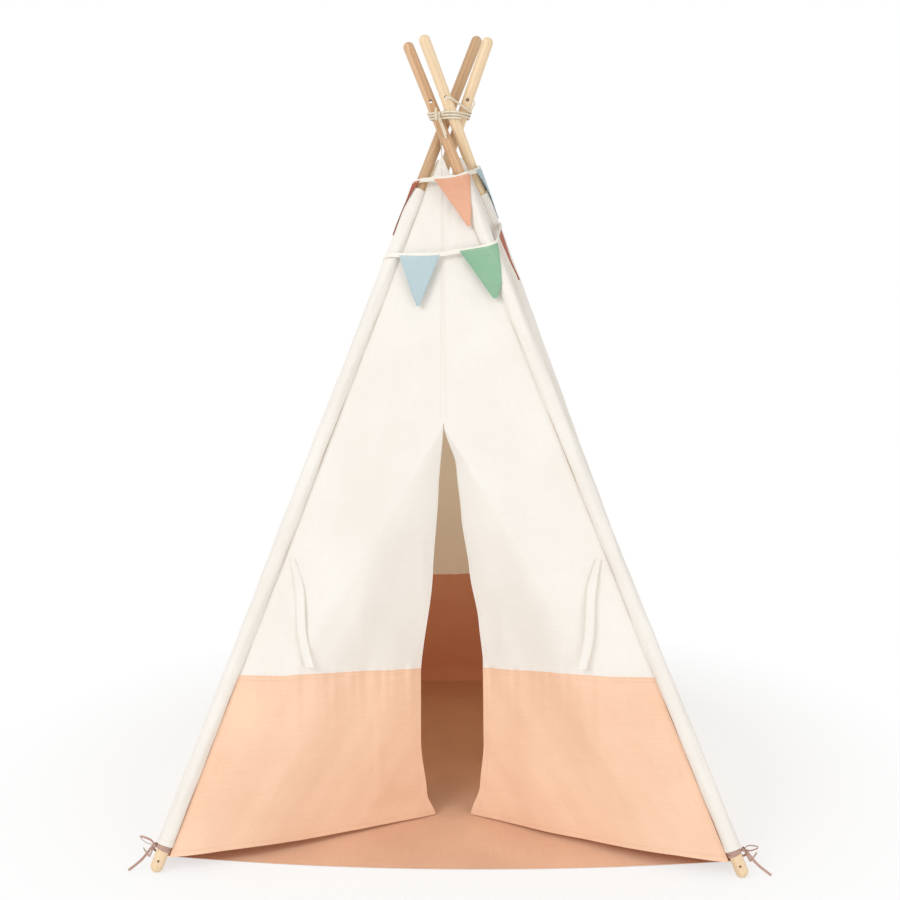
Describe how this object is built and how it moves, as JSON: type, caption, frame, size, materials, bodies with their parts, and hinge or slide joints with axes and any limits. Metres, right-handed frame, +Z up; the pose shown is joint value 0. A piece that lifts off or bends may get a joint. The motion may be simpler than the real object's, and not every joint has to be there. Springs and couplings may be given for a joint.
{
  "type": "kids teepee",
  "caption": "Child's play teepee: crossed wooden poles lashed at the top, sewn cotton cover with a two-flap door, floor mat and bunting; folds like an umbrella.",
  "frame": {"origin": "on the floor at the middle of the base", "axes": "+Z up, the door faces -Y, +X to the viewer's right when facing the door"},
  "size_m": [1.2095, 1.199, 1.6507],
  "materials": {
    "pole_wood": "smooth pine, thin clear coat",
    "ferrule_steel": "satin tube",
    "cover_cotton": "plain woven cotton canvas",
    "band_cotton": "plain woven cotton canvas",
    "mat_cotton": "plain woven cotton canvas, double hem",
    "tie_ribbon": "narrow woven ribbon",
    "cotton_cord": "twisted cotton cord",
    "flag_rust": "cotton",
    "flag_blue": "cotton",
    "flag_green": "cotton",
    "flag_pink": "cotton"
  },
  "bodies": {
    "lashing": {"lashing_cord": "cotton_cord", "lashing_tails": "cotton_cord", "canopy_string": "cotton_cord"},
    "pole_front_left": {"pole_lower_front_left": "pole_wood", "pole_upper_front_left": "pole_wood", "pole_ferrule_front_left": "ferrule_steel", "sleeve_front_left": "cover_cotton", "foot_tie_front_left": "tie_ribbon", "front_panel_left": "cover_cotton", "wall_left_front": "cover_cotton", "band_left_front": "band_cotton", "tieback_left": "cover_cotton", "bunting_tape_low_left": "cover_cotton", "bunting_tape_high_left": "cover_cotton", "flag_1_rust": "flag_rust", "flag_2_blue": "flag_blue", "flag_7_rust": "flag_rust"},
    "pole_front_right": {"pole_lower_front_right": "pole_wood", "pole_upper_front_right": "pole_wood", "pole_ferrule_front_right": "ferrule_steel", "sleeve_front_right": "cover_cotton", "foot_tie_front_right": "tie_ribbon", "front_panel_right": "cover_cotton", "wall_right_front": "cover_cotton", "band_right_front": "band_cotton", "tieback_right": "cover_cotton", "bunting_tape_low_front": "cover_cotton", "bunting_tape_high_front": "cover_cotton", "flag_3_green": "flag_green", "flag_8_pink": "flag_pink"},
    "pole_back_right": {"pole_lower_back_right": "pole_wood", "pole_upper_back_right": "pole_wood", "pole_ferrule_back_right": "ferrule_steel", "sleeve_back_right": "cover_cotton", "foot_tie_back_right": "tie_ribbon", "wall_right_back": "cover_cotton", "band_right_back": "band_cotton", "wall_back_right": "cover_cotton", "band_back_right": "band_cotton", "bunting_tape_low_right": "cover_cotton", "flag_4_rust": "flag_rust", "flag_5_pink": "flag_pink", "flag_9_blue": "flag_blue"},
    "pole_back_left": {"pole_lower_back_left": "pole_wood", "pole_upper_back_left": "pole_wood", "pole_ferrule_back_left": "ferrule_steel", "sleeve_back_left": "cover_cotton", "foot_tie_back_left": "tie_ribbon", "wall_left_back": "cover_cotton", "band_left_back": "band_cotton", "wall_back_left": "cover_cotton", "band_back_left": "band_cotton", "bunting_tape_back": "cover_cotton", "flag_6_blue": "flag_blue"},
    "door_left": {"door_flap_left": "cover_cotton", "door_band_left": "band_cotton"},
    "door_right": {"door_flap_right": "cover_cotton", "door_band_right": "band_cotton"},
    "mat_front_half": {"mat_front": "mat_cotton"},
    "mat_back_half": {"mat_back": "mat_cotton"}
  },
  "joints": [
    {"name": "fold", "type": "hinge", "parent": "lashing", "child": "pole_front_left", "pos_m": [-0.00926, 0.02468, 1.454], "axis": [-0.7071, 0.7071, 0], "range_deg": [-24, 0], "deforming": ["lashing_tails", "canopy_string", "front_panel_left", "wall_left_front", "band_left_front", "tieback_left", "bunting_tape_low_left", "bunting_tape_high_left", "flag_1_rust", "flag_2_blue", "flag_7_rust", "front_panel_right", "wall_right_front", "band_right_front", "tieback_right", "bunting_tape_low_front", "bunting_tape_high_front", "flag_3_green", "flag_8_pink", "wall_right_back", "band_right_back", "wall_back_right", "band_back_right", "bunting_tape_low_right", "flag_4_rust", "flag_5_pink", "flag_9_blue", "wall_left_back", "band_left_back", "wall_back_left", "band_back_left", "bunting_tape_back", "flag_6_blue", "door_flap_left", "door_band_left", "door_flap_right", "door_band_right", "mat_front", "mat_back"]},
    {"name": "fold_front_right", "type": "hinge", "parent": "lashing", "child": "pole_front_right", "pos_m": [-0.02468, -0.00926, 1.454], "axis": [-0.7071, -0.7071, 0], "range_deg": [-24, 0], "deforming": ["lashing_tails", "canopy_string", "front_panel_left", "wall_left_front", "band_left_front", "tieback_left", "bunting_tape_low_left", "bunting_tape_high_left", "flag_1_rust", "flag_2_blue", "flag_7_rust", "front_panel_right", "wall_right_front", "band_right_front", "tieback_right", "bunting_tape_low_front", "bunting_tape_high_front", "flag_3_green", "flag_8_pink", "wall_right_back", "band_right_back", "wall_back_right", "band_back_right", "bunting_tape_low_right", "flag_4_rust", "flag_5_pink", "flag_9_blue", "wall_left_back", "band_left_back", "wall_back_left", "band_back_left", "bunting_tape_back", "flag_6_blue", "door_flap_left", "door_band_left", "door_flap_right", "door_band_right", "mat_front", "mat_back"]},
    {"name": "fold_back_right", "type": "hinge", "parent": "lashing", "child": "pole_back_right", "pos_m": [0.00926, -0.02468, 1.454], "axis": [0.7071, -0.7071, 0], "range_deg": [-24, 0], "deforming": ["lashing_tails", "canopy_string", "front_panel_left", "wall_left_front", "band_left_front", "tieback_left", "bunting_tape_low_left", "bunting_tape_high_left", "flag_1_rust", "flag_2_blue", "flag_7_rust", "front_panel_right", "wall_right_front", "band_right_front", "tieback_right", "bunting_tape_low_front", "bunting_tape_high_front", "flag_3_green", "flag_8_pink", "wall_right_back", "band_right_back", "wall_back_right", "band_back_right", "bunting_tape_low_right", "flag_4_rust", "flag_5_pink", "flag_9_blue", "wall_left_back", "band_left_back", "wall_back_left", "band_back_left", "bunting_tape_back", "flag_6_blue", "door_flap_left", "door_band_left", "door_flap_right", "door_band_right", "mat_front", "mat_back"]},
    {"name": "fold_back_left", "type": "hinge", "parent": "lashing", "child": "pole_back_left", "pos_m": [0.02468, 0.00926, 1.454], "axis": [0.7071, 0.7071, 0], "range_deg": [-24, 0], "deforming": ["lashing_tails", "canopy_string", "front_panel_left", "wall_left_front", "band_left_front", "tieback_left", "bunting_tape_low_left", "bunting_tape_high_left", "flag_1_rust", "flag_2_blue", "flag_7_rust", "front_panel_right", "wall_right_front", "band_right_front", "tieback_right", "bunting_tape_low_front", "bunting_tape_high_front", "flag_3_green", "flag_8_pink", "wall_right_back", "band_right_back", "wall_back_right", "band_back_right", "bunting_tape_low_right", "flag_4_rust", "flag_5_pink", "flag_9_blue", "wall_left_back", "band_left_back", "wall_back_left", "band_back_left", "bunting_tape_back", "flag_6_blue", "door_flap_left", "door_band_left", "door_flap_right", "door_band_right", "mat_front", "mat_back"]},
    {"name": "door_left", "type": "hinge", "parent": "pole_front_left", "child": "door_left", "pos_m": [-0.01697, -0.23986, 0.812], "axis": [-0.535, -0.2892, -0.7938], "range_deg": [0, 110], "deforming": ["tieback_left"]},
    {"name": "door_right", "type": "hinge", "parent": "pole_front_right", "child": "door_right", "pos_m": [-0.01697, -0.23986, 0.812], "axis": [-0.5295, 0.3197, 0.7858], "range_deg": [0, 110], "deforming": ["tieback_right"]},
    {"name": "mat_fold_front", "type": "hinge", "parent": "lashing", "child": "mat_front_half", "pos_m": [0, 0, 0.0035], "axis": [-0.9995, 0.0307, 0], "range_deg": [0, 90], "deforming": ["lashing_tails", "canopy_string", "front_panel_left", "wall_left_front", "band_left_front", "tieback_left", "bunting_tape_low_left", "bunting_tape_high_left", "flag_1_rust", "flag_2_blue", "flag_7_rust", "front_panel_right", "wall_right_front", "band_right_front", "tieback_right", "bunting_tape_low_front", "bunting_tape_high_front", "flag_3_green", "flag_8_pink", "wall_right_back", "band_right_back", "wall_back_right", "band_back_right", "bunting_tape_low_right", "flag_4_rust", "flag_5_pink", "flag_9_blue", "wall_left_back", "band_left_back", "wall_back_left", "band_back_left", "bunting_tape_back", "flag_6_blue", "door_flap_left", "door_band_left", "door_flap_right", "door_band_right", "mat_front", "mat_back"]},
    {"name": "mat_fold_back", "type": "hinge", "parent": "lashing", "child": "mat_back_half", "pos_m": [0, 0, 0.0035], "axis": [0.9995, -0.0307, 0], "range_deg": [0, 90], "deforming": ["lashing_tails", "canopy_string", "front_panel_left", "wall_left_front", "band_left_front", "tieback_left", "bunting_tape_low_left", "bunting_tape_high_left", "flag_1_rust", "flag_2_blue", "flag_7_rust", "front_panel_right", "wall_right_front", "band_right_front", "tieback_right", "bunting_tape_low_front", "bunting_tape_high_front", "flag_3_green", "flag_8_pink", "wall_right_back", "band_right_back", "wall_back_right", "band_back_right", "bunting_tape_low_right", "flag_4_rust", "flag_5_pink", "flag_9_blue", "wall_left_back", "band_left_back", "wall_back_left", "band_back_left", "bunting_tape_back", "flag_6_blue", "door_flap_left", "door_band_left", "door_flap_right", "door_band_right", "mat_front", "mat_back"]}
  ],
  "couplings": [
    {"joint": "fold_front_right", "follows": "fold", "ratio": 1},
    {"joint": "fold_back_right", "follows": "fold", "ratio": 1},
    {"joint": "fold_back_left", "follows": "fold", "ratio": 1},
    {"joint": "mat_fold_front", "follows": "fold", "ratio": -3.7083},
    {"joint": "mat_fold_back", "follows": "fold", "ratio": -3.7083}
  ]
}
